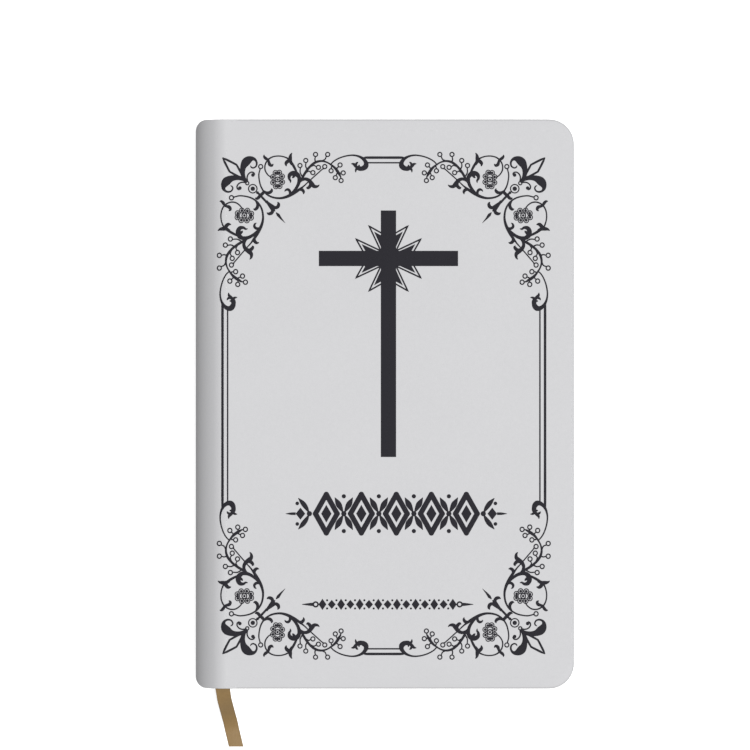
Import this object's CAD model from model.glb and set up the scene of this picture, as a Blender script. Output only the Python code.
import math

import bmesh
import bpy
import numpy as np
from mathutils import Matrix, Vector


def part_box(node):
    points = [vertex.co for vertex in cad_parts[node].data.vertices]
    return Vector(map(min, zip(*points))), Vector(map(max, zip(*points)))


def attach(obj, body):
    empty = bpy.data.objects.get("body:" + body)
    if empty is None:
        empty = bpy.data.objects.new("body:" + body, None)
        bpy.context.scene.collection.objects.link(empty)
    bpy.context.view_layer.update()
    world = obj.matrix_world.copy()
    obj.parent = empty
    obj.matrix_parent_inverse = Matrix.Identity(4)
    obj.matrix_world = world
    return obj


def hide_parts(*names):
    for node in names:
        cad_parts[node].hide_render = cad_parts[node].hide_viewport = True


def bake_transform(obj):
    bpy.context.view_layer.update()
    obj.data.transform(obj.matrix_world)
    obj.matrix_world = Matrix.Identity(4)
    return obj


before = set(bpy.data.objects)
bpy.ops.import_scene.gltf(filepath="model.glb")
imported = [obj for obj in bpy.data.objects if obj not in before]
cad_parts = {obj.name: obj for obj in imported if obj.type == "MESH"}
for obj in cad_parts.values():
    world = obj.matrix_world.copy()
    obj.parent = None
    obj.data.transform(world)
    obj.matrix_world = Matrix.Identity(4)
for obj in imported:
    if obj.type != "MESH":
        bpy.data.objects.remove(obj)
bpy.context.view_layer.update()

# ---------------- sizes, in millimetres

MM = 0.001
SEED = 41


def box_mm(node):
    """Lowest and highest corners of a CAD node, in millimetres."""
    low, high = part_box(node)
    return np.array(low) / MM, np.array(high) / MM


COVER_LOW, COVER_HIGH = box_mm("front_cover_skin")
FORE_X = COVER_HIGH[0]              # fore-edge of the covers
HALF_H = COVER_HIGH[1]              # head of the covers, and minus this their tail
TOP_Z = COVER_HIGH[2]               # upper face of the front cover
MID_Z = TOP_Z / 2
SPINE_LOW_X = box_mm("front_spine_skin")[0][0]
BEND_X = COVER_LOW[0]               # where the cover's leatherette meets the spine's
LEAF_HALF_H = box_mm("section_09")[1][1]

CORNER_R = 9.5
SPINE_CORNER_R = 3.8
SKIN_T = 0.7
COVER_T = 3.1
TURN_IN = 14.0
TURN_IN_T = 0.4
EDGE_R = 0.8
UNDER_R = 0.6
JOINT_X = -56.0                     # spine edge of the boards
SHOULDER_X = -60.0                  # centre line of the shoulder arcs
SHOULDER_R = 8.0
CROWN_R = 18.0
CROWN_X = SPINE_LOW_X + CROWN_R
MEET_TURN = math.asin((CROWN_X - SHOULDER_X) / (CROWN_R - SHOULDER_R))      # where crown meets shoulder
LEAVES_IN = 2.75                    # depth of the leaves' back below the spine's surface
BUNCHES = 9                         # bunches of leaves drawn in each section
LEAF_CORNER_R = 6.5
LEAF_FORE_X = 69.0
FORE_HOLLOW = 5.0
FORE_R = 17.75
PRINT_T = 0.058
PRINT_SINK = 0.03
RIBBON_W = 5.5
RIBBON_T = 0.25
BAND_R = 1.1


# ---------------- camera

camera_data = bpy.data.cameras.new("camera")
camera = bpy.data.objects.new("camera", camera_data)
bpy.context.scene.collection.objects.link(camera)
CAMERA_RISE = 2.0                   # metres above the front cover
VIEW_WIDTH = 0.28446                # metres across the picture at the front cover
camera_data.sensor_width = 36
camera_data.lens = camera_data.sensor_width * CAMERA_RISE / VIEW_WIDTH
camera_data.clip_start = 0.05
camera_data.clip_end = 50
camera.location = (-0.0035, 0.0110, TOP_Z * MM + CAMERA_RISE)
bpy.context.scene.camera = camera


# ---------------- meshes

def grid_faces(rows, columns, wrap_columns=False, first=0):
    """Quads of a grid whose vertices are counted row by row, as an array of four columns."""
    r = np.arange(rows - 1)[:, None]
    c = np.arange(columns if wrap_columns else columns - 1)[None, :]
    down, across = r + 1, (c + 1) % columns
    corners = (r * columns + c, r * columns + across, down * columns + across, down * columns + c)
    return np.stack([np.broadcast_to(q, (r.size, c.size)) for q in corners], -1).reshape(-1, 4) + first


def tube_faces(rings, corners, first=0):
    """Faces of a tube of rings, each with so many corners, and the flat faces that close its ends."""
    last = first + (rings - 1) * corners
    caps = [list(range(first, first + corners)), list(range(last, last + corners))]
    return grid_faces(rings, corners, wrap_columns=True, first=first).tolist() + caps


def make_piece(name, points, faces, material, sharp=38, weld=0.0, fill=False, attributes=None):
    """A mesh object from points in millimetres and lists of face corners.

    sharp is the angle in degrees past which an edge is hard. weld joins points nearer than that
    many millimetres; fill closes holes with flat faces.
    """
    mesh = bpy.data.meshes.new(name)
    mesh.from_pydata((np.asarray(points, float) * MM).tolist(), [], [list(map(int, f)) for f in faces])
    for key, values in (attributes or {}).items():
        mesh.attributes.new(key, "FLOAT", "POINT").data.foreach_set("value", np.asarray(values, np.float32))
    work = bmesh.new()
    work.from_mesh(mesh)
    if weld:
        bmesh.ops.remove_doubles(work, verts=work.verts, dist=weld * MM)
    if fill:
        edges = [e for e in work.edges if e.is_boundary]
        bmesh.ops.holes_fill(work, edges=edges, sides=0)
    bmesh.ops.recalc_face_normals(work, faces=work.faces)
    work.to_mesh(mesh)
    work.free()
    mesh.polygons.foreach_set("use_smooth", np.ones(len(mesh.polygons), bool))
    mesh.set_sharp_from_angle(angle=math.radians(sharp))
    mesh.materials.append(material)
    piece = bpy.data.objects.new(name, mesh)
    bpy.context.scene.collection.objects.link(piece)
    return piece


def through(points, per_span):
    """Catmull-Rom curve through the rows of points, per_span samples a span, last point kept."""
    p = np.asarray(points, float)
    p = np.vstack([2 * p[0] - p[1], p, 2 * p[-1] - p[-2]])
    a, b, c, d = p[:-3, None], p[1:-2, None], p[2:-1, None], p[3:, None]
    t = (np.arange(per_span) / per_span)[None, :, None]
    curve = 0.5 * (2 * b + (c - a) * t + (2 * a - 5 * b + 4 * c - d) * t ** 2
                   + (3 * b - a - 3 * c + d) * t ** 3)
    return np.vstack([curve.reshape(-1, p.shape[1]), p[-2]])


def unit(rows):
    """Each row at length one."""
    return rows / np.maximum(np.linalg.norm(rows, axis=-1, keepdims=True), 1e-12)


# ---------------- materials

class Finish:
    """A node material on one Principled shader, built up with short calls."""

    def __init__(self, name, **sockets):
        self.material = bpy.data.materials.new(name)
        self.material.use_nodes = True
        self.tree = self.material.node_tree
        self.shader = self.tree.nodes["Principled BSDF"]
        for key, value in sockets.items():
            self.shader.inputs[key.replace("_", " ")].default_value = value

    def add(self, kind, **settings):
        """A node; settings are its properties, or its inputs where no property has the name."""
        made = self.tree.nodes.new("ShaderNode" + kind)
        for key, value in settings.items():
            if hasattr(made, key):
                setattr(made, key, value)
            else:
                self.feed(made.inputs[key.replace("_", " ")], value)
        return made

    def feed(self, socket, value):
        """Links an output to the socket, or sets the socket's own value."""
        if isinstance(value, bpy.types.NodeSocket):
            self.tree.links.new(value, socket)
        else:
            socket.default_value = value

    def place(self, scale=(1, 1, 1), turn=(0, 0, 0)):
        """Object coordinates in millimetres, stretched by scale."""
        where = self.add("TexCoord")
        mapped = self.add("Mapping", Scale=tuple(s / MM for s in scale), Rotation=turn)
        self.feed(mapped.inputs["Vector"], where.outputs["Object"])
        return mapped.outputs["Vector"]

    def noise(self, vector, scale, detail=2.0, rough=0.5):
        """Noise with so many grains a millimetre of the vector."""
        return self.add("TexNoise", Vector=vector, Scale=scale, Detail=detail,
                        Roughness=rough).outputs["Fac"]

    def cells(self, vector, scale, feature="F1", smooth=0.3):
        """Distance to the nearest of scattered points; smooth rounds the ridges between them."""
        made = self.add("TexVoronoi", feature=feature, Vector=vector, Scale=scale)
        if feature == "SMOOTH_F1":
            made.inputs["Smoothness"].default_value = smooth
        return made.outputs["Distance"]

    def read(self, name):
        """A value that the mesh carries at each vertex."""
        return self.add("Attribute", attribute_name=name).outputs["Fac"]

    def sum(self, kind, a, b=0.0, c=0.0):
        """Arithmetic on up to three values."""
        made = self.add("Math", operation=kind)
        for socket, value in zip(made.inputs, (a, b, c)):
            self.feed(socket, value)
        return made.outputs[0]

    def spread(self, value, low, high, to_low=0.0, to_high=1.0):
        """The value's range from low to high, stretched over another and cut off at its ends."""
        return self.add("MapRange", clamp=True, Value=value, From_Min=low, From_Max=high,
                        To_Min=to_low, To_Max=to_high).outputs["Result"]

    def blend_colours(self, share, a, b):
        """Colour a at share 0, colour b at share 1."""
        made = self.add("Mix", data_type="RGBA")
        self.feed(made.inputs[0], share)
        self.feed(made.inputs[6], a)
        self.feed(made.inputs[7], b)
        return made.outputs[2]

    def relief(self, height, depth, strength):
        """Bump of a height map, depth millimetres high."""
        return self.add("Bump", Strength=strength, Distance=depth * MM, Height=height).outputs["Normal"]

    def wear(self, colour, rough, normal):
        """Puts the colour, roughness and normal on the shader, and gives the material."""
        for key, value in (("Base Color", colour), ("Roughness", rough), ("Normal", normal)):
            self.feed(self.shader.inputs[key], value)
        return self.material


def grey(value, warm=0.0):
    """A near-neutral colour; warm shifts it from blue to red."""
    return (value * (1 + warm), value, value * (1 - warm), 1.0)


def leatherette_finish(name, pale, dark):
    """Fine-grained coated cover cloth: small pebbles, finer pores between them, faint clouding."""
    f = Finish(name, Roughness=0.5, Specular_IOR_Level=0.28)
    at = f.place()
    bent = f.noise(at, 0.8, 3.0)
    pebble = f.cells(at, 2.3, "SMOOTH_F1", 0.45)
    pore = f.noise(at, 7.0, 3.0, 0.6)
    cloud = f.noise(at, 0.035, 2.0)
    height = f.sum("MULTIPLY_ADD", pore, 0.35, f.sum("SUBTRACT", 1.0, pebble))
    tone = f.sum("MULTIPLY_ADD", cloud, 0.5, f.spread(pebble, 0.1, 0.75, 0.0, 0.5))
    colour = f.blend_colours(tone, pale, dark)
    rough = f.spread(f.sum("ADD", bent, pore), 0.6, 1.4, 0.44, 0.58)
    return f.wear(colour, rough, f.relief(height, 0.022, 0.55))


def ink_finish(name, colour, worn):
    """Matt print over the grain: faint pin-holes and a slightly uneven film."""
    f = Finish(name, Roughness=0.6, Specular_IOR_Level=0.08)
    at = f.place()
    grain = f.cells(at, 2.3, "SMOOTH_F1", 0.45)
    film = f.noise(at, 1.1, 4.0, 0.6)
    shade = f.blend_colours(f.spread(film, 0.35, 0.75), colour, worn)
    rough = f.spread(film, 0.3, 0.7, 0.5, 0.68)
    return f.wear(shade, rough, f.relief(f.sum("SUBTRACT", 1.0, grain), 0.016, 0.4))


def paper_finish(name, pale, dark, fibre=1.0):
    """Thin book paper: short fibres and a faint cloud of uneven thickness."""
    f = Finish(name, Roughness=0.85, Specular_IOR_Level=0.2)
    at = f.place()
    fibres = f.noise(f.place((1.2, 5.5, 5.5), (0, 0, 0.5)), 1.0, 4.0, 0.7)
    cloud = f.noise(at, 0.14, 4.0, 0.6)
    tone = f.sum("MULTIPLY_ADD", fibres, 0.6, f.sum("MULTIPLY", cloud, 0.22))
    colour = f.blend_colours(tone, pale, dark)
    return f.wear(colour, f.spread(fibres, 0.3, 0.7, 0.78, 0.92), f.relief(fibres, 0.012 * fibre, 0.5))


def leaf_edge_finish(name, pale, dark):
    """Cut edges of thin leaves: fine lines that run round the block, of uneven tone and height."""
    f = Finish(name, Roughness=0.75, Specular_IOR_Level=0.25)
    lines = f.noise(f.place((0.012, 0.012, 6.5)), 1.0, 5.0, 0.75)
    bunch = f.noise(f.place((0.004, 0.004, 0.9)), 1.0, 3.0, 0.6)
    fibres = f.noise(f.place((2.5, 2.5, 2.5)), 1.0, 3.0, 0.6)
    tone = f.sum("MULTIPLY_ADD", lines, 0.65, f.sum("MULTIPLY", bunch, 0.45))
    colour = f.blend_colours(f.spread(tone, 0.32, 0.78), pale, dark)
    height = f.sum("MULTIPLY_ADD", fibres, 0.2, lines)
    return f.wear(colour, f.spread(fibres, 0.3, 0.7, 0.68, 0.85), f.relief(height, 0.05, 0.6))


def board_finish(name, pale, dark):
    """Grey board: pressed waste fibres, mottled and rough."""
    f = Finish(name, Roughness=0.9, Specular_IOR_Level=0.15)
    at = f.place()
    mottle = f.noise(at, 0.9, 5.0, 0.7)
    fleck = f.cells(f.place((1.6, 4.0, 4.0)), 1.0)
    colour = f.blend_colours(f.sum("MULTIPLY_ADD", fleck, 0.4, f.sum("MULTIPLY", mottle, 0.6)), pale, dark)
    return f.wear(colour, f.spread(mottle, 0.3, 0.7, 0.82, 0.96), f.relief(mottle, 0.06, 0.7))


def cloth_finish(name, pale, dark, pitch, deep):
    """Plain weave: two sets of threads a pitch apart, each going over and under the other."""
    f = Finish(name, Roughness=0.8, Specular_IOR_Level=0.2)
    at = f.add("SeparateXYZ", Vector=f.place((1 / pitch, 1 / pitch, 1 / pitch)))
    warp = f.sum("ABSOLUTE", f.sum("SINE", f.sum("MULTIPLY", at.outputs["Y"], math.pi)))
    round_spine = f.sum("ADD", at.outputs["X"], at.outputs["Z"])
    weft = f.sum("ABSOLUTE", f.sum("SINE", f.sum("MULTIPLY", round_spine, math.pi)))
    threads = f.sum("MAXIMUM", warp, weft)
    fuzz = f.noise(f.place(), 3.0, 3.0, 0.6)
    colour = f.blend_colours(f.sum("MULTIPLY_ADD", fuzz, 0.3, f.sum("MULTIPLY", threads, 0.6)), dark, pale)
    return f.wear(colour, f.spread(fuzz, 0.3, 0.7, 0.72, 0.9), f.relief(threads, deep, 0.7))


def satin_ribbon_finish(name, pale, dark):
    """Woven satin ribbon: close cross ribs, fine lengthwise floats, and firmer selvedges."""
    f = Finish(name, Roughness=0.5, Specular_IOR_Level=0.3, Sheen_Weight=0.15, Sheen_Roughness=0.4,
               Anisotropic=0.3)
    along, across = f.read("along"), f.read("across")
    rib_pitch, float_pitch, selvedge = 0.36, 0.22, 0.5
    ribs = f.sum("SINE", f.sum("MULTIPLY", along, 2 * math.pi / rib_pitch))
    floats = f.sum("SINE", f.sum("MULTIPLY", across, 2 * math.pi / float_pitch))
    slub = f.noise(f.place((1.5, 0.35, 1.5)), 1.0, 4.0, 0.65)
    speck = f.noise(f.place(), 2.6, 2.0, 0.6)
    edge = f.spread(f.sum("ABSOLUTE", across), RIBBON_W / 2 - selvedge, RIBBON_W / 2 - 0.3)
    tone = f.sum("MULTIPLY_ADD", speck, 0.5, f.sum("MULTIPLY", slub, 0.45))
    tone = f.sum("MULTIPLY_ADD", ribs, 0.12, tone)
    tone = f.sum("MULTIPLY_ADD", edge, 0.15, tone)
    colour = f.blend_colours(f.spread(tone, 0.2, 0.85), pale, dark)
    weave = f.sum("MULTIPLY_ADD", floats, 0.35, ribs)
    rough = f.spread(slub, 0.3, 0.7, 0.42, 0.6)
    return f.wear(colour, rough, f.relief(weave, 0.02, 0.5))


def wound_silk_finish(name, first, second):
    """Headband silk: two colours wound by turns round the core."""
    f = Finish(name, Roughness=0.45, Specular_IOR_Level=0.35, Sheen_Weight=0.2)
    along = f.read("along")
    stripe, thread_pitch = 1.5, 0.25
    turn = f.spread(f.sum("SINE", f.sum("MULTIPLY", along, math.pi / stripe)), -0.15, 0.15)
    thread = f.sum("SINE", f.sum("MULTIPLY", along, 2 * math.pi / thread_pitch))
    fuzz = f.noise(f.place(), 5.0, 3.0, 0.6)
    tone = f.sum("MULTIPLY_ADD", fuzz, 0.25, f.sum("MULTIPLY", turn, 0.85))
    colour = f.blend_colours(tone, first, second)
    return f.wear(colour, f.spread(fuzz, 0.3, 0.7, 0.4, 0.6), f.relief(thread, 0.03, 0.5))


leatherette = leatherette_finish("leatherette", (0.600, 0.600, 0.613, 1), (0.560, 0.560, 0.573, 1))
cover_ink = ink_finish("cover_ink", (0.0168, 0.0160, 0.0212, 1), (0.0255, 0.0243, 0.0308, 1))
leaf_paper = paper_finish("leaf_paper", grey(0.80, 0.03), grey(0.74, 0.045))
leaf_edges = leaf_edge_finish("leaf_edges", grey(0.80, 0.035), grey(0.60, 0.06))
endpaper = paper_finish("endpaper", grey(0.78, 0.02), grey(0.70, 0.03), 1.6)
greyboard = board_finish("greyboard", grey(0.30, 0.03), grey(0.18, 0.05))
card = board_finish("card", grey(0.62, 0.06), grey(0.50, 0.09))
gauze = cloth_finish("gauze", grey(0.78, 0.05), grey(0.50, 0.10), 1.0, 0.06)
tape_cloth = cloth_finish("tape_cloth", grey(0.70, 0.10), grey(0.48, 0.16), 0.45, 0.05)
lining_paper = paper_finish("lining_paper", grey(0.55, 0.10), grey(0.44, 0.14), 1.8)
ribbon_satin = satin_ribbon_finish("ribbon_satin", (0.330, 0.213, 0.090, 1), (0.236, 0.150, 0.060, 1))
band_silk = wound_silk_finish("band_silk", (0.72, 0.69, 0.62, 1), (0.42, 0.28, 0.13, 1))


# ---------------- ribbon marker

RIBBON_ROUTE = [
    (-66.0, 103.0, 15.82), (-65.7, 85.0, 15.82), (-65.2, 60.0, 15.82), (-64.5, 20.0, 15.82),
    (-63.8, -20.0, 15.82), (-63.1, -60.0, 15.82), (-62.6, -85.0, 15.82), (-62.3, -98.0, 15.82),
    (-62.1, -105.0, 15.82), (-61.9, -108.0, 15.6), (-61.5, -110.6, 14.8), (-61.2, -113.0, 13.2),
    (-60.7, -115.4, 10.7), (-60.2, -117.8, 7.4), (-59.7, -120.2, 4.2), (-59.1, -122.8, 1.8),
    (-58.6, -125.4, 0.6), (-57.8, -128.8, 0.25), (-57.0, -132.2, 0.2)]


def ribbon_piece(name, route, width, thick):
    """A flat woven band: an oblong section with firmer edges, carried level along the route.

    Section: across runs from edge to edge as the cosine of an angle, and the height is the sine
    of it to a low power, so that the faces are flat and the edges round; the edges are a fifth
    thicker, as a selvedge is. The end is cut square to the book.
    """
    centre = through(route, 8)
    direction = unit(np.gradient(centre, axis=0))
    side = unit(np.cross([0.0, 0.0, 1.0], direction))
    up = np.cross(direction, side)
    length = np.concatenate([[0], np.cumsum(np.linalg.norm(np.diff(centre, axis=0), axis=1))])
    square_over = 2.5
    cut = np.clip(1 - (length[-1] - length) / square_over, 0, 1)[:, None]
    side = side * (1 - cut) + cut * np.array([1.0, 0.0, 0.0]) / side[:, :1]
    angle = np.linspace(0, 2 * math.pi, 28, endpoint=False)
    across = np.sign(np.cos(angle)) * np.abs(np.cos(angle)) ** 0.75 * width / 2
    height = np.sign(np.sin(angle)) * np.abs(np.sin(angle)) ** 0.3 * thick / 2
    height = height * (0.84 + 0.16 * np.clip((np.abs(across) - width / 2 + 0.6) / 0.3, 0, 1))
    rings = centre[:, None] + side[:, None] * across[None, :, None] + up[:, None] * height[None, :, None]
    n, m = rings.shape[:2]
    faces = tube_faces(n, m)
    made = make_piece(name, rings.reshape(-1, 3), faces, ribbon_satin,
                      attributes={"along": np.repeat(length, m), "across": np.tile(across, n)})
    return made, centre * MM, length[-1] * MM


ribbon, ribbon_path, ribbon_length = ribbon_piece("ribbon_satin_marker", RIBBON_ROUTE, RIBBON_W, RIBBON_T)
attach(ribbon, "back_leaves")
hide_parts("ribbon_marker")


# ---------------- covers and spine

def cover_level(x):
    """Height of the closed book's front at x: flat, then down the shoulder arc, then the crown."""
    x = np.asarray(x, float)
    shoulder = TOP_Z - SHOULDER_R + np.sqrt(np.maximum(SHOULDER_R ** 2 - (x - SHOULDER_X) ** 2, 0))
    return np.where(x >= SHOULDER_X, TOP_Z, shoulder)


def cover_columns(inset):
    """Columns of the cover between the bend and the fore-edge, as x and half the height there.

    They lie close over the shoulder and the joint, wide over the board, and by equal angles
    round the fore corner. The joint's last column comes twice, for the step onto the board.
    """
    joint = np.linspace(BEND_X, JOINT_X, 29)
    corner_x, corner_y = FORE_X - CORNER_R, HALF_H - CORNER_R
    turn = np.linspace(0, math.pi / 2, 15)
    flat = np.linspace(JOINT_X, corner_x, 34)
    x = np.concatenate([joint, flat, corner_x + (CORNER_R - inset) * np.sin(turn[1:])])
    half = np.concatenate([np.full(joint.size + flat.size, HALF_H - inset),
                           corner_y + (CORNER_R - inset) * np.cos(turn[1:])])
    on_board = np.arange(x.size) >= joint.size
    return x, half, on_board


def cover_rim(inset, rows):
    """The cover's outline moved in by inset, as x and y, from the tail at the bend round to the head.

    Inside the corner's radius it follows the arc; further in it meets at a square mitre.
    """
    x, half, on_board = cover_columns(min(inset, CORNER_R))
    x = np.minimum(x, FORE_X - inset)
    half = np.minimum(half, HALF_H - inset)
    edge_y = np.linspace(-1, 1, rows)[1:-1] * (HALF_H - CORNER_R)
    edge_y = np.clip(edge_y, -(HALF_H - inset), HALF_H - inset)
    rim_x = np.concatenate([x, np.full(edge_y.size, x[-1]), x[::-1]])
    rim_y = np.concatenate([-half, edge_y, half[::-1]])
    flags = np.concatenate([on_board, np.ones(edge_y.size, bool), on_board[::-1]])
    return rim_x, rim_y, flags


def cover_sheet(inset, drop, rows):
    """One face of the cover, as rows from tail to head of columns from bend to fore-edge."""
    x, half, _ = cover_columns(inset)
    v = np.linspace(-1, 1, rows)[:, None]
    y = v * half[None, :]
    x = np.broadcast_to(x, y.shape)
    return np.stack([x, y, cover_level(x) - drop], -1)


def cover_leather(name, upper, material):
    """The cover's skin as one closed shell.

    Outer face, then a profile carried round the rim (rounded edge, wall, rounded underside,
    turn-in and its cut end), then the inner face. Over the joint the profile is only the skin.
    A back cover is the same shell turned over the book's middle height.
    """
    rows = 57
    turn = np.linspace(0, math.pi / 2, 7)
    flap_r = SKIN_T / 2
    cut_r = 0.1
    board = [(EDGE_R * (1 - math.sin(a)), EDGE_R * (1 - math.cos(a))) for a in turn]
    board += [(0.0, COVER_T * 0.5), (0.0, COVER_T - UNDER_R)]
    board += [(UNDER_R * (1 - math.cos(a)), COVER_T - UNDER_R * (1 - math.sin(a))) for a in turn[1:]]
    board += [(TURN_IN - cut_r, COVER_T), (TURN_IN, COVER_T - cut_r), (TURN_IN, COVER_T - TURN_IN_T),
              (SKIN_T, COVER_T - TURN_IN_T), (SKIN_T, SKIN_T)]
    flap = [(EDGE_R, 0.0)]
    flap += [(flap_r * (1 - math.sin(a)), flap_r * (1 - math.cos(a))) for a in turn[:-1]]
    flap += [(0.0, flap_r), (0.0, flap_r)]
    flap += [(flap_r * (1 - math.cos(a)), flap_r + flap_r * math.sin(a)) for a in turn[1:]]
    flap += [(SKIN_T, SKIN_T)] * (len(board) - len(flap))
    outer = cover_sheet(EDGE_R, 0.0, rows)
    columns = outer.shape[1]
    inner = cover_sheet(SKIN_T, SKIN_T, rows)
    rings = []
    for (d, drop), (flap_d, flap_drop) in zip(board, flap):
        x, y, on_board = cover_rim(d, rows)
        flap_x, flap_y, _ = cover_rim(flap_d, rows)
        x, y = np.where(on_board, x, flap_x), np.where(on_board, y, flap_y)
        rings.append(np.stack([x, y, cover_level(x) - np.where(on_board, drop, flap_drop)], -1))
    rings = np.array(rings)
    points = np.vstack([outer.reshape(-1, 3), inner.reshape(-1, 3), rings.reshape(-1, 3)])
    sheet_size = rows * columns
    faces = np.vstack([grid_faces(rows, columns), grid_faces(rows, columns, first=sheet_size),
                       grid_faces(rings.shape[0], rings.shape[1], first=2 * sheet_size)])
    if not upper:
        points[:, 2] = TOP_Z - points[:, 2]
    return make_piece(name, points, faces, material, sharp=40, weld=0.004, fill=True)


def back_profile(samples):
    """The spine's round seen from the tail, from front bend to back bend.

    Two shoulder arcs and the crown arc between them, as x, z and the outward directions.
    """
    first = math.asin((SHOULDER_X - BEND_X) / SHOULDER_R)
    turn = np.linspace(first, math.pi - first, samples)
    on_front, on_back = turn < MEET_TURN, turn > math.pi - MEET_TURN
    centre_x = np.where(on_front | on_back, SHOULDER_X, CROWN_X)
    centre_z = np.where(on_front, TOP_Z - SHOULDER_R, np.where(on_back, SHOULDER_R, MID_Z))
    radius = np.where(on_front | on_back, SHOULDER_R, CROWN_R)
    out_x, out_z = -np.sin(turn), np.cos(turn)
    return centre_x + radius * out_x, centre_z + radius * out_z, out_x, out_z


def spine_half_height(x):
    """Half the spine's height at x: straight, with a quarter circle at the crown's corners."""
    reach = np.maximum(SPINE_LOW_X + SPINE_CORNER_R - x, 0)
    return HALF_H - SPINE_CORNER_R + np.sqrt(np.maximum(SPINE_CORNER_R ** 2 - reach ** 2, 0))


def spine_leather(name, material):
    """The spine's skin: a loop of outer face, rounded head edge, inner face and rounded tail edge,
    carried round the spine's profile, with flat ends at the two bends."""
    x, z, out_x, out_z = back_profile(121)
    half = spine_half_height(x)
    flap_r = SKIN_T / 2
    turn = np.linspace(0, math.pi, 9)[1:-1]
    face = np.linspace(-1, 1, 33)
    none, end = np.zeros(face.size), np.ones(turn.size)
    straight = np.concatenate([face, end, face[::-1], -end])
    past = np.concatenate([none, flap_r * np.sin(turn), none, -flap_r * np.sin(turn)])
    depth = np.concatenate([none, flap_r * (1 - np.cos(turn)), none + SKIN_T,
                            flap_r * (1 + np.cos(turn))])
    y = straight[None, :] * (half[:, None] - flap_r) + past[None, :]
    px = x[:, None] - out_x[:, None] * depth[None, :]
    pz = z[:, None] - out_z[:, None] * depth[None, :]
    points = np.stack([px, y, pz], -1)
    n, m = points.shape[:2]
    faces = tube_faces(n, m)
    return make_piece(name, points.reshape(-1, 3), faces, material, sharp=50)


for half, z in (("front", 0.032), ("back", 0)):
    leather = cover_leather(f"{half}_cover_leather", half == "front", leatherette)
    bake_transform(leather)
    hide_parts(f"{half}_cover_skin")

spine = spine_leather("spine_leather", leatherette)
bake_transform(spine)
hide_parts("front_spine_skin", "back_spine_skin")


# ---------------- leaves

def leaves_back(z):
    """x of the leaves' rounded back at height z: shoulder arcs above and below, crown between."""
    rise = np.abs(np.asarray(z, float) - MID_Z)
    shoulder_z = MID_Z - SHOULDER_R
    meet = (CROWN_R - LEAVES_IN) * math.cos(MEET_TURN)
    crown = CROWN_X - np.sqrt(np.maximum((CROWN_R - LEAVES_IN) ** 2 - rise ** 2, 0))
    in_r = SHOULDER_R - LEAVES_IN
    shoulder = SHOULDER_X - np.sqrt(np.maximum(in_r ** 2 - (rise - shoulder_z) ** 2, 0))
    return np.where(rise < meet, crown, shoulder)


def leaves_front(z):
    """x of the hollow fore-edge at height z."""
    rise = np.asarray(z, float) - MID_Z
    return LEAF_FORE_X - FORE_HOLLOW + FORE_R - np.sqrt(np.maximum(FORE_R ** 2 - rise ** 2, 0))


def leaf_outline(back, fore, half):
    """One leaf's outline from above, as rows of x and y, round the two fore corners."""
    turn = np.linspace(0, math.pi / 2, 8)
    r = LEAF_CORNER_R
    low = np.stack([fore - r + r * np.sin(turn), -(half - r) - r * np.cos(turn)], -1)
    straight = np.linspace(-1, 1, 9)[1:-1] * (half - r)
    edge = np.stack([np.full(straight.size, fore), straight], -1)
    high = np.stack([low[::-1, 0], -low[::-1, 1]], -1)
    return np.vstack([[back, -half], [(back + fore) / 2, -half], low, edge, high,
                      [(back + fore) / 2, half], [back, half]])


def section_piece(name, node, draws):
    """A sewn section: nine bunches of leaves, each cut a hair long or short of its neighbours.

    Each bunch is its outline at its own height, so that the section follows the rounded back
    and the hollow fore-edge, and its four faces step from bunch to bunch.
    """
    low, high = box_mm(node)
    levels = np.linspace(low[2], high[2], BUNCHES + 1)
    gap = 0.012
    points, faces = [], []
    for k in range(BUNCHES):
        bottom, top = levels[k] + gap / 2, levels[k + 1] - gap / 2
        middle = (bottom + top) / 2
        fore_short, end_short = 0.02 + 0.16 * draws[k, 0] ** 2, 0.02 + 0.10 * draws[k, 1] ** 2
        half = LEAF_HALF_H - end_short
        flats = [leaf_outline(leaves_back(z) + 0.02, leaves_front(middle) - fore_short, half)
                 for z in (bottom, top)]
        n = len(flats[0])
        first = sum(len(p) for p in points)
        for flat, z in zip(flats, (bottom, top)):
            points.append(np.column_stack([flat, np.full(n, z)]))
        faces += tube_faces(2, n, first)
    return make_piece(name, np.vstack(points), faces, leaf_edges, sharp=30)


rng = np.random.default_rng(SEED)
for number in range(1, 17):
    node = f"section_{number:02d}"
    piece = section_piece(f"{node}_leaves", node, rng.random((BUNCHES, 2)))
    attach(piece, "front_leaves" if number <= 8 else "back_leaves")
    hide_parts(node)


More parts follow.
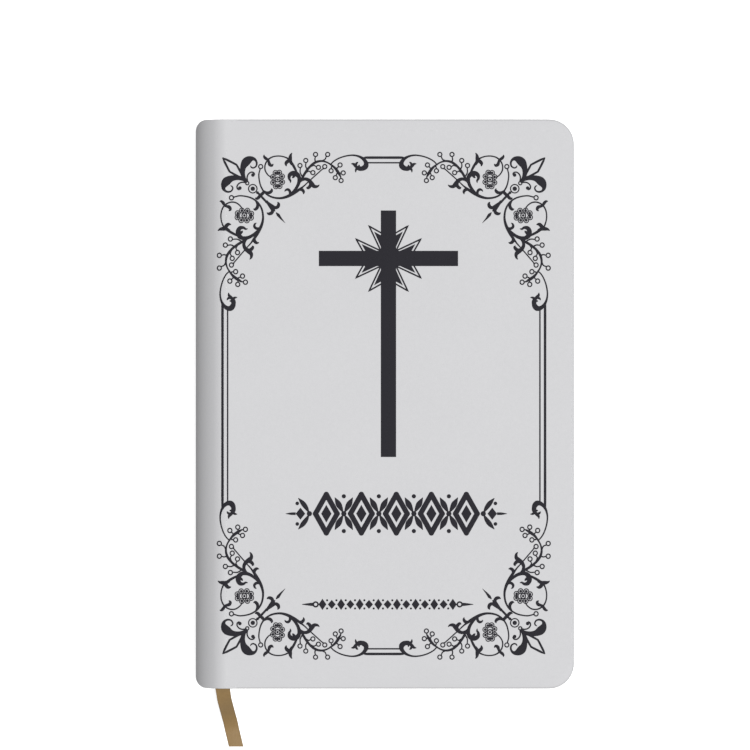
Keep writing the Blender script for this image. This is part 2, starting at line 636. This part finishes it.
def turning_leaf_piece(name):
    """The leaf at the opening: one thin sheet from the gutter to the fore-edge, finely cut along x
    near the gutter so that it bends smoothly there."""
    low, high = box_mm("turning_leaf")
    back, fore, half = low[0], high[0], high[1]
    bend_w = 18
    near = np.linspace(back, back + bend_w, 37)
    turn = np.linspace(0, math.pi / 2, 9)
    corner_x = LEAF_FORE_X - LEAF_CORNER_R
    corner = np.linspace(corner_x, fore, 6)
    x = np.concatenate([near, np.linspace(near[-1], corner_x, 22)[1:], corner[1:]])
    reach = np.maximum(x - corner_x, 0)
    half_at = half - LEAF_CORNER_R + np.sqrt(np.maximum(LEAF_CORNER_R ** 2 - reach ** 2, 0))
    v = np.linspace(-1, 1, 25)[:, None]
    y = v * half_at[None, :]
    xs = np.broadcast_to(x, y.shape)
    rows, columns = y.shape
    sheets = [np.stack([xs, y, np.full(y.shape, z)], -1).reshape(-1, 3) for z in (low[2], high[2])]
    border = np.concatenate([np.arange(columns), (np.arange(1, rows) + 1) * columns - 1,
                             (rows - 1) * columns + np.arange(columns - 2, -1, -1),
                             np.arange(rows - 2, 0, -1) * columns])
    size = rows * columns
    after = np.roll(border, -1)
    walls = np.stack([border, after, after + size, border + size], -1)
    faces = np.vstack([grid_faces(rows, columns), grid_faces(rows, columns, first=size), walls])
    return make_piece(name, np.vstack(sheets), faces, leaf_paper, sharp=40)


leaf = turning_leaf_piece("turning_leaf_paper")
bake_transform(leaf)
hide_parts("turning_leaf")


# ---------------- headbands

def headband_piece(name, front, head):
    """Half a headband: silk wound in turns round a core that follows the leaves' rounded back.

    The core is an arc about the crown's centre; the section is a circle whose radius swells and
    narrows with each wound thread, and the threads lean a little.
    """
    core_r = CROWN_R - LEAVES_IN - BAND_R
    start, sweep = 0.016, math.radians(47.6)
    thread_pitch, lean_by, round_end = 0.5, 0.10, 0.25
    count, around = 330, 20
    turn = start + sweep * np.linspace(0, 1, count)[:, None]
    angle = np.linspace(0, 2 * math.pi, around, endpoint=False)[None, :]
    along = turn * core_r
    wound = np.abs(np.sin(math.pi * (along + lean_by * np.sin(angle)) / thread_pitch))
    to_end = np.minimum(turn - start, start + sweep - turn) * core_r
    ends = np.sqrt(np.clip(to_end / round_end, 0, 1))
    radius = (BAND_R * (0.93 + 0.06 * wound)) * (0.45 + 0.55 * ends)
    out = core_r + radius * np.cos(angle)
    x = CROWN_X - out * np.cos(turn)
    z = MID_Z + (1 if front else -1) * out * np.sin(turn)
    band_gap = 0.05
    middle_y = LEAF_HALF_H + BAND_R + band_gap
    y = (1 if head else -1) * (middle_y + radius * np.sin(angle))
    points = np.stack([x, y, z], -1)
    faces = tube_faces(count, around)
    return make_piece(name, points.reshape(-1, 3), faces, band_silk, sharp=60,
                      attributes={"along": np.broadcast_to(along, x.shape).ravel()})


for half in ("front", "back"):
    for end in ("headband", "tailband"):
        piece = headband_piece(f"{half}_{end}_silk", half == "front", end == "headband")
        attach(piece, f"{half}_leaves")
        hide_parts(f"{half}_{end}")


# ---------------- printed decoration
# A pattern is a list of bands. A band is its left and its right edge, as rows of points.

LINE_GAIN = 0.12                    # how much print spreads a thin line
BAR_STEP = 1.5                      # about the length of a bar's rows
EDGE_DROP = 0.015                   # how far a band's edges lie below its top
STACK_RISE, STACK = 0.012, 24       # so many bands on end rise by so much, then it starts again
JOINT_STEP = 0.7                    # widest step across a band of print that bends with the joint
JOINT_ROW = 0.8                     # longest step along such a band


def band(rows):
    """A band through rows of (x, y, width), smooth between them."""
    rows = np.asarray(rows, float) + [0, 0, LINE_GAIN]
    return flat_band(through(rows, 7))


def flat_band(rows):
    """A band straight from row to row of (x, y, width)."""
    rows = np.asarray(rows, float)
    middle, half = rows[:, :2], np.maximum(rows[:, 2:3], 0.04) / 2
    direction = unit(np.gradient(middle, axis=0))
    normal = np.stack([-direction[:, 1], direction[:, 0]], -1)
    return np.stack([middle + normal * half, middle - normal * half], 1)


def bar(x0, y0, x1, y1, width):
    """A straight bar with square ends, in short lengths."""
    reach = max(abs(x1 - x0), abs(y1 - y0))
    t = np.linspace(0, 1, max(2, int(reach / BAR_STEP)))[:, None]
    centre = np.array([x0, y0]) * (1 - t) + np.array([x1, y1]) * t
    return flat_band(np.column_stack([centre, np.full(len(t), width)]))


def dot(x, y, r):
    """A filled circle, as a band whose width follows the circle."""
    t = np.cos(np.linspace(math.pi, 0, 10))
    return flat_band(np.column_stack([x + r * t, np.full(t.size, y), 2 * r * np.sqrt(1 - t * t)]))


def hoop(x, y, r, width):
    """A ring."""
    a = np.linspace(0, 2 * math.pi, 17)
    line = np.full(a.size, width + LINE_GAIN)
    return flat_band(np.column_stack([x + r * np.cos(a), y + r * np.sin(a), line]))


def sliver(left, right):
    """A filled shape between two edges with the same number of corners."""
    return np.stack([np.asarray(left, float), np.asarray(right, float)], 1)


def lozenge(x, y, width, height):
    """A filled lozenge."""
    t = np.array([0, 0.5, 1])[:, None]
    centre = np.array([x - width / 2, y]) * (1 - t) + np.array([x + width / 2, y]) * t
    return flat_band(np.column_stack([centre, [0, height, 0]]))


def moved(pattern, across=(1, 0), up=(0, 1), to=(0, 0)):
    """The pattern with its x and y laid along two directions; edges change sides if mirrored."""
    turn = np.array([across, up], float)
    mirrored = np.linalg.det(turn) < 0
    return [(b[:, ::-1] if mirrored else b) @ turn + np.array(to, float) for b in pattern]


def short_rows(edges):
    """The same straight band with rows added wherever two of them are far apart."""
    gaps = np.linalg.norm(np.diff(edges.mean(1), axis=0), axis=1)
    parts = np.ceil(gaps / JOINT_ROW)
    row = np.concatenate([i + np.arange(n) / n for i, n in enumerate(parts)] + [[gaps.size]])
    first = np.minimum(row.astype(int), gaps.size - 1)
    share = (row - first)[:, None, None]
    return edges[first] * (1 - share) + edges[first + 1] * share


def printed_piece(node, pattern, body=None):
    """Every band as a thin closed strip of print that lies on the cover and follows its shoulder.

    It takes the CAD node's place, and rides on a body or, with none, bends with the joint.
    Five points over the section and two under it, with the edges chamfered; a wide band over
    the joint has more of both, so that it bends with the leather. Each band is a hair higher
    than the one before it.
    """
    points, faces, first = [], [], 0
    for k, edges in enumerate(pattern):
        bends = body is None and edges[..., 0].min() < JOINT_X + 1
        if bends:
            edges = short_rows(edges)
        left, right = edges[:, 0], edges[:, 1]
        widest = np.linalg.norm(left - right, axis=1).max()
        parts = max(2, math.ceil(widest / JOINT_STEP)) if bends else 2
        across = np.linspace(0, 1, parts + 1)
        under = across[::-1] if parts > 2 else across[[-1, 0]]
        lift = PRINT_T - STACK_RISE * (1 - (k % STACK) / STACK)
        section = [(0.0, lift - EDGE_DROP)] + [(min(max(a, 0.06), 0.94), lift) for a in across]
        section += [(1.0, lift - EDGE_DROP)] + [(a, -PRINT_SINK) for a in under]
        ring = []
        for share, z in section:
            at = left * (1 - share) + right * share
            ring.append(np.stack([at[:, 0], at[:, 1], cover_level(at[:, 0]) + z], -1))
        ring = np.stack(ring, 1)
        n, m = ring.shape[:2]
        points.append(ring.reshape(-1, 3))
        faces += tube_faces(n, m, first)
        first += n * m
    piece = make_piece(f"{node}_ink", np.vstack(points), faces, cover_ink, sharp=30)
    if body:
        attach(piece, body)
    else:
        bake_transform(piece)
    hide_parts(node)


# The cross and its rays, about the middle of the arms
CROSS_AT = (1.6, 55.2)
CROSS_TOP, CROSS_FOOT, CROSS_HALF_W, CROSS_BAR = 18.2, -75.3, 26.4, 5.8


def cross_pattern():
    """A Latin cross: the upright, and two arms that run a little way into it."""
    arm_from = CROSS_BAR / 2 - 0.2
    return [bar(0, CROSS_TOP, 0, CROSS_FOOT, CROSS_BAR), bar(-CROSS_HALF_W, 0, -arm_from, 0, CROSS_BAR),
            bar(arm_from, 0, CROSS_HALF_W, 0, CROSS_BAR)]


def ray_pattern():
    """Two rays in one quarter: an outline from bar to tip and back to the bars' corner, and a
    filled core that stands clear of it."""
    line = 0.6
    one = [bar(2.7, 9.65, 7.3, 12.25, line), bar(7.3, 12.25, 2.85, 2.8, line),
           sliver([(7.0, 12.3), (7.3, 12.45), (7.75, 12.7)], [(7.45, 12.0), (7.6, 12.25), (7.8, 12.68)]),
           sliver([(2.8, 8.75), (4.1, 9.45), (5.4, 10.2)], [(2.8, 4.2), (4.1, 7.15), (5.45, 10.15)])]
    return one + moved(one, (0, 1), (1, 0))


printed_piece("printed_cross", moved(cross_pattern(), to=CROSS_AT), "front_cover")
quarters = [moved(ray_pattern(), (sx, 0), (0, sy), CROSS_AT) for sx in (-1, 1) for sy in (-1, 1)]
printed_piece("printed_rays", [b for q in quarters for b in q], "front_cover")

# The border's rules
BORDER_X = {-1: 61.35, 1: 61.0}     # distance of the side rules from the middle, spine and fore-edge
BORDER_HEAD, BORDER_TAIL = 93.45, -94.8
RULE_W, FINE_RULE_W, RULE_STEP = 0.95, 0.56, 1.95


def rule_pattern():
    """Side rules between the corner ornaments, and short rules at head and tail; each has a fine
    rule inside it, and the thick ones have tapered ends."""
    made = []
    thick = RULE_W - LINE_GAIN
    for side in (-1, 1):
        x = side * BORDER_X[side]
        made.append(band([(x, -39.2, 0.2), (x, -37.6, thick), (x, -20, thick), (x, 0, thick),
                          (x, 20, thick), (x, 36.8, thick), (x, 38.4, 0.2)]))
        inner = x - side * RULE_STEP
        made.append(bar(inner, -37.0, inner, 35.7, FINE_RULE_W))
    for y, inward in ((BORDER_HEAD, -1), (BORDER_TAIL, 1)):
        made.append(band([(-7.9, y, 0.2), (-6.4, y, thick), (0, y, thick), (6.2, y, thick), (7.7, y, 0.2)]))
        made.append(bar(-6.4, y + inward * RULE_STEP, 6.3, y + inward * RULE_STEP, FINE_RULE_W))
    return made


printed_piece("printed_border_rules", rule_pattern())


# Corner ornament: u runs along the head from the border's corner, v runs down the side

def flower_pattern(x, y, rx, ry):
    """A flower of eight ringed petals round a ringed eye, with a dark drop in each petal."""
    made = []
    for a in np.linspace(0, 2 * math.pi, 8, endpoint=False) + 0.35:
        px, py = x + 0.68 * rx * math.cos(a), y + 0.70 * ry * math.sin(a)
        made.append(hoop(px, py, 0.90, 0.26))
        made.append(dot(x + 0.66 * rx * math.cos(a), y + 0.68 * ry * math.sin(a), 0.55))
    made += [hoop(x, y, 0.92, 0.34), dot(x, y, 0.46)]
    return made


def berry_pattern(x, y, stem_from, bow=0.5):
    """A ringed berry on a short bowed stalk."""
    r = 0.78
    start, end = np.array(stem_from, float), np.array([x, y], float)
    gap = end - start
    end = end - unit(gap[None])[0] * (r - 0.1)
    side = np.array([-gap[1], gap[0]]) / max(np.linalg.norm(gap), 1e-6)
    middle = (start + end) / 2 + side * bow
    return [hoop(x, y, r, 0.36), band([(*start, 0.5), (*middle, 0.38), (*end, 0.34)])]


def arm_pattern():
    """One arm of the corner: a scroll round a flower, leaves on it, then a spray of berries."""
    made = flower_pattern(20.9, 8.3, 2.8, 4.0)
    made += [
        # stem under the scroll, from a berry near the corner
        band([(14.3, 4.3, .36), (13.8, 6.4, .4), (14.0, 8.8, .42), (14.7, 11.2, .48), (16.2, 13.4, .55),
              (18.6, 14.9, .6), (21.6, 15.4, .7), (24.2, 14.9, .95), (26.6, 13.7, 1.15), (29.0, 12.2, .95),
              (30.6, 11.0, .5), (31.8, 10.0, .35)]),
        # scroll from the flower round to the stem
        band([(18.6, 7.6, .34), (17.2, 6.5, .38), (16.2, 4.8, .42), (16.2, 2.7, .42), (17.3, .8, .5),
              (19.1, -.3, .42), (21.4, -.6, .4), (23.6, -.2, .42), (25.4, .8, .6), (26.8, 2.9, .85),
              (28.0, 5.3, .7), (28.7, 7.6, .55), (28.5, 9.8, .42), (27.4, 11.9, .40), (25.6, 14.0, .36)]),
        band([(29.3, 7.4, .5), (29.4, 9.2, .42), (28.6, 11.2, .38), (26.9, 13.2, .3)]),
        # paired leaves where the scroll turns
        band([(15.8, -1.1, .12), (15.8, -.4, .75), (16.4, .3, 1.05), (17.3, .9, .8), (17.6, 1.7, .9),
              (17.9, 2.6, 1.15), (18.7, 3.0, .9), (19.3, 2.4, .2)]),
        band([(26.4, -1.8, .12), (25.9, -1.0, .8), (25.7, .1, 1.3), (25.7, 1.2, 1.3), (26.4, 2.8, .7)]),
        band([(26.1, 1.0, 1.3), (24.9, 1.3, 1.3), (24.1, 2.2, 1.1), (24.2, 3.3, .15)]),
        # great leaf
        band([(29.2, 9.8, .5), (29.3, 8.1, 1.1), (28.3, 6.4, 1.7), (26.8, 5.9, 1.7), (25.5, 6.6, 1.4),
              (25.3, 7.9, .9), (25.8, 8.8, .6), (25.7, 9.6, .12)]),
        band([(27.8, 6.1, 1.1), (26.9, 7.3, .8), (26.4, 7.7, .12)]),
        # small leaves along the stem
        band([(25.6, 14.2, .8), (25.6, 12.9, .9), (24.9, 12.1, .9), (24.0, 12.3, .6), (23.6, 12.9, .12)]),
        band([(29.0, 12.1, .8), (30.2, 12.2, 1.1), (30.8, 13.0, .9), (30.7, 13.9, .12)]),
        band([(15.5, 12.6, .5), (16.8, 13.3, .9), (18.0, 13.2, 1.1), (18.7, 12.4, .9), (18.5, 11.7, .12)]),
        # stem to the spray, ending in a two-lobed leaf
        band([(25.2, 14.4, .5), (27.2, 12.4, .6), (28.6, 10.2, .7), (29.8, 8.7, .9), (31.4, 8.1, 1.1),
              (32.9, 8.7, 1.3), (33.8, 9.9, 1.6), (34.8, 10.9, 1.3), (36.0, 10.9, .8), (36.8, 10.3, .12)]),
        band([(33.7, 9.4, 1.4), (33.3, 10.7, 1.2), (32.4, 11.5, 1.0), (31.8, 11.2, .12)]),
        # stem of the berries
        band([(29.4, 9.4, .5), (30.3, 7.7, .8), (31.5, 5.6, .85), (33.1, 3.5, .8), (35.1, 1.9, .85),
              (37.3, 1.3, .7), (39.4, 1.7, .5), (41.3, 2.8, .55), (42.9, 4.2, .9), (44.0, 5.8, 1.0),
              (44.9, 7.4, .4)]),
        # straight stalk through the leaf
        band([(30.4, 11.2, .36), (34.2, 7.7, .36), (38.1, 4.2, .36)]),
        # swash to the middle of the edge, ending in a leafy curl
        band([(40.8, 2.9, .36), (42.2, 1.4, .4), (44.3, .2, .42), (46.8, -.6, .44), (49.4, -.9, .5),
              (51.6, -.5, .7), (53.4, .5, 1.1), (54.4, 1.9, 1.5), (54.3, 3.3, 1.9), (53.0, 4.1, 1.7),
              (51.9, 3.6, .9), (51.8, 2.7, .3)]),
        band([(53.4, 4.2, 1.4), (51.9, 4.3, 1.3), (50.7, 3.4, 1.1), (49.8, 2.5, .9), (48.8, 2.3, .12)]),
        band([(51.2, 3.8, 1.0), (50.6, 4.7, .7), (50.5, 5.6, .12)]),
        band([(50.4, 3.2, .9), (50.9, 2.1, .7), (51.5, 1.7, .12)]),
    ]
    for x, y, sx, sy, bow in (
            (14.5, 3.4, 14.2, 4.6, 0), (29.4, 3.0, 30.4, 7.4, -.5), (31.6, 1.1, 32.2, 4.6, -.4),
            (35.3, -1.2, 35.4, 1.8, -.3), (39.9, -1.2, 37.6, 1.3, .5), (36.4, 3.7, 33.6, 3.3, -.5),
            (34.3, 5.7, 31.8, 5.6, -.5), (38.8, 3.4, 38.1, 4.4, 0), (44.6, 2.8, 42.8, 4.1, .3),
            (41.2, 5.0, 41.6, 3.2, .2), (45.8, 5.8, 44.0, 5.6, .2), (42.8, 7.6, 43.9, 5.6, .2),
            (45.0, 8.7, 44.8, 7.2, 0)):
        made += berry_pattern(x, y, (sx, sy), bow)
    return made


def corner_pattern():
    """A corner: an open lozenge, two drops and a spear on the diagonal, with an arm each way."""
    wing = [
        # lozenge side and the limb to the knot
        band([(0, 0, .2), (1.5, .75, .7), (3.4, 1.7, .7), (5.3, 2.7, .65)]),
        flat_band([(5.2, 2.5, .7), (7.2, 6.0, .95), (9.3, 9.4, 1.1)]),
        flat_band([(7.0, 6.2, .5), (8.0, 7.9, 1.1), (9.2, 9.3, 1.2)]),
        # drop with a turned end
        band([(9.2, 9.3, .6), (8.2, 7.4, 1.0), (7.7, 5.4, 1.6), (7.9, 3.5, 2.2), (8.8, 1.8, 3.1),
              (10.0, .8, 2.7), (11.4, .4, 1.5), (12.5, .9, .8), (13.0, 2.1, .62), (12.7, 3.3, .5),
              (11.7, 3.9, .45), (10.9, 3.6, .4), (10.6, 3.0, .12)]),
        # small curl with a bud
        band([(9.5, 8.9, .4), (9.35, 7.5, .42), (9.8, 6.3, .42), (10.8, 5.55, .42), (11.8, 5.7, .45),
              (12.2, 6.5, .5)]),
        dot(11.55, 6.6, .68),
        # spear's hook and the knot's leaf
        band([(16.4, 16.6, .8), (18.6, 18.2, 1.1), (20.0, 19.0, 1.1), (21.0, 18.6, 1.2), (21.3, 17.6, 1.0),
              (20.9, 16.8, .15)]),
        band([(13.9, 14.3, .9), (14.9, 13.9, 1.1), (15.5, 13.1, 1.0), (15.3, 12.3, .15)]),
    ]
    made = wing + moved(wing, (0, 1), (1, 0))
    made += [
        hoop(9.4, 9.7, .62, .36), hoop(11.5, 11.8, 1.62, .34),
        dot(11.5, 11.8, .85), dot(13.3, 13.3, .55),
        flat_band([(13.2, 13.1, .7), (14.4, 14.4, .9), (17.5, 17.7, .8), (19.4, 19.8, 1.2),
                   (20.0, 20.4, .2)]),
        flat_band([(20.3, 20.8, .3), (21.1, 21.7, 1.2), (22.2, 23.1, .7), (23.8, 24.8, .1)]),
    ]
    side_stretch = 1.05
    return made + arm_pattern() + moved(arm_pattern(), (0, side_stretch), (1, 0))


corners = []
for side in (-1, 1):
    for edge_y, down in ((BORDER_HEAD, -1), (BORDER_TAIL, 1)):
        corners += moved(corner_pattern(), (-side, 0), (0, down), (side * BORDER_X[side], edge_y))
printed_piece("printed_corner_ornaments", corners)


# Ornaments where a title and a subtitle would stand

def finial_pattern():
    """The end of a frieze: a bud, a small lozenge, a pair of short leaves and a long point."""
    made = [dot(0, 0, 1.0), lozenge(3.4, 0, 3.6, 4.6),
            band([(5.2, 0, .9), (7.0, 0, .8), (9.0, 0, .05)])]
    for up in (-1, 1):
        made.append(band([(.3, up * .7, .5), (1.3, up * 2.4, 1.5), (2.6, up * 4.1, 1.6),
                          (4.2, up * 5.9, .1)]))
        made.append(dot(4.6, up * 3.9, .7))
    return made


def leaf_cross_pattern():
    """Four leaves on a slant about a bud, with a dot above and below."""
    slant = math.radians(61)
    made = []
    for sx in (-1, 1):
        for sy in (-1, 1):
            dx, dy = sx * math.cos(slant), sy * math.sin(slant)
            made.append(band([(dx * out, dy * out, width) for out, width in
                              ((.8, .4), (2.4, 1.5), (4.4, 2.0), (7.0, .1))]))
    return made + [dot(0, 0, 1.0), dot(0, 6.6, 0.8), dot(0, -6.6, 0.8)]


def title_pattern(width, height):
    """A frieze of framed lozenges with four leaves between each two, and a finial at each end."""
    units = 5
    step = width / (units + 1.25)
    half_w, half_h = step * 0.31, height / 2
    made = []
    for k in range(units):
        x = (k - (units - 1) / 2) * step
        tips = [(x - half_w, 0), (x, half_h), (x + half_w, 0), (x, -half_h)]
        for a, b in zip(tips, tips[1:] + tips[:1]):
            made.append(bar(*a, *b, 2.0))
        made.append(lozenge(x, 0, half_w * 0.95, half_h * 0.92))
        made += [dot(tip_x, tip_y, 1.05) for tip_x, tip_y in tips]
        if k < units - 1:
            made += moved(leaf_cross_pattern(), to=(x + step / 2, 0))
    finial_at = (units - 1) / 2 * step + half_w + 2.3
    for side in (-1, 1):
        made += moved(finial_pattern(), (side, 0), (0, 1), (side * finial_at, 0))
    return made


def subtitle_pattern(width, height):
    """A row of small lozenges with dots between them, closed by a tapering line at each end."""
    count, ends = 15, 12
    step = (width - ends) / count
    made = []
    for k in range(count):
        x = (k - (count - 1) / 2) * step
        tall = height * (1.0 if k % 2 == 0 else 0.8)
        made.append(lozenge(x, 0, step * 0.84, tall))
        if k < count - 1:
            made += [dot(x + step / 2, up * height * 0.36, 0.40) for up in (-1, 1)]
    for side in (-1, 1):
        made.append(band([(side * (width / 2 - 4.4), 0, 1.2), (side * (width / 2 - 2.8), 0, .9),
                          (side * width / 2, 0, .08)]))
        made.append(hoop(side * (width / 2 - 5.2), 0, .9, .5))
    return made


printed_piece("printed_title_ornament", moved(title_pattern(83, 14.6), to=(4.6, -41.6)), "front_cover")
printed_piece("printed_subtitle_ornament", moved(subtitle_pattern(65, 4.3), to=(1.3, -76.0)), "front_cover")


# ---------------- finishes of the CAD pieces

CAD_FINISHES = {
    "board": greyboard, "infill_card": card, "pastedown": endpaper, "spine_liner": card,
    "spine_lining": lining_paper, "mull": gauze, "sewing_tapes": tape_cloth, "flyleaf": endpaper}
for half in ("front", "back"):
    for part, material in CAD_FINISHES.items():
        cad_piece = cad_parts[f"{half}_{part}"]
        cad_piece.data.materials.clear()
        cad_piece.data.materials.append(material)


# ---------------- floor, light and surroundings

def seen_or_lit(tree, lit, seen):
    """One shader for the camera and another for the light that falls on the book."""
    mix = tree.nodes.new("ShaderNodeMixShader")
    ray = tree.nodes.new("ShaderNodeLightPath")
    tree.links.new(ray.outputs["Is Camera Ray"], mix.inputs["Fac"])
    tree.links.new(lit.outputs[0], mix.inputs[1])
    tree.links.new(seen.outputs[0], mix.inputs[2])
    return mix.outputs[0]


def floor_finish():
    """A plain pale floor, seen brighter than it shines on the book."""
    material = bpy.data.materials.new("pale_floor")
    material.use_nodes = True
    tree = material.node_tree
    tree.nodes.clear()
    out = tree.nodes.new("ShaderNodeOutputMaterial")
    dull = tree.nodes.new("ShaderNodeBsdfDiffuse")
    dull.inputs["Color"].default_value = grey(0.42)
    seen = tree.nodes.new("ShaderNodeAddShader")
    bright = tree.nodes.new("ShaderNodeBsdfDiffuse")
    bright.inputs["Color"].default_value = grey(0.85)
    glow = tree.nodes.new("ShaderNodeEmission")
    glow.inputs["Strength"].default_value = 0.72
    tree.links.new(bright.outputs[0], seen.inputs[0])
    tree.links.new(glow.outputs[0], seen.inputs[1])
    tree.links.new(seen_or_lit(tree, dull, seen), out.inputs["Surface"])
    return material


FLOOR_HALF, FLOOR_Z = 8000.0, -0.05
floor_points = [(sx * FLOOR_HALF, sy * FLOOR_HALF, FLOOR_Z)
                for sx, sy in ((-1, -1), (1, -1), (1, 1), (-1, 1))]
floor = make_piece("floor", floor_points, [(0, 1, 2, 3)], floor_finish())

world = bpy.data.worlds.new("studio")
bpy.context.scene.world = world
world.use_nodes = True
sky = world.node_tree
FILL, SEEN_WHITE = 0.36, 1.05       # how bright the surroundings shine on the book, and are seen
fill_light, white = sky.nodes["Background"], sky.nodes.new("ShaderNodeBackground")
for light, strength in ((fill_light, FILL), (white, SEEN_WHITE)):
    light.inputs["Color"].default_value = grey(1.0)
    light.inputs["Strength"].default_value = strength
sky.links.new(seen_or_lit(sky, fill_light, white), sky.nodes["World Output"].inputs["Surface"])

key_data = bpy.data.lights.new("key", "SUN")
key_data.energy = 2.39
key_data.angle = math.radians(22)
key = bpy.data.objects.new("key", key_data)
key.rotation_euler = (0, math.radians(13), 0)
bpy.context.scene.collection.objects.link(key)

bpy.context.scene.view_settings.view_transform = "Standard"
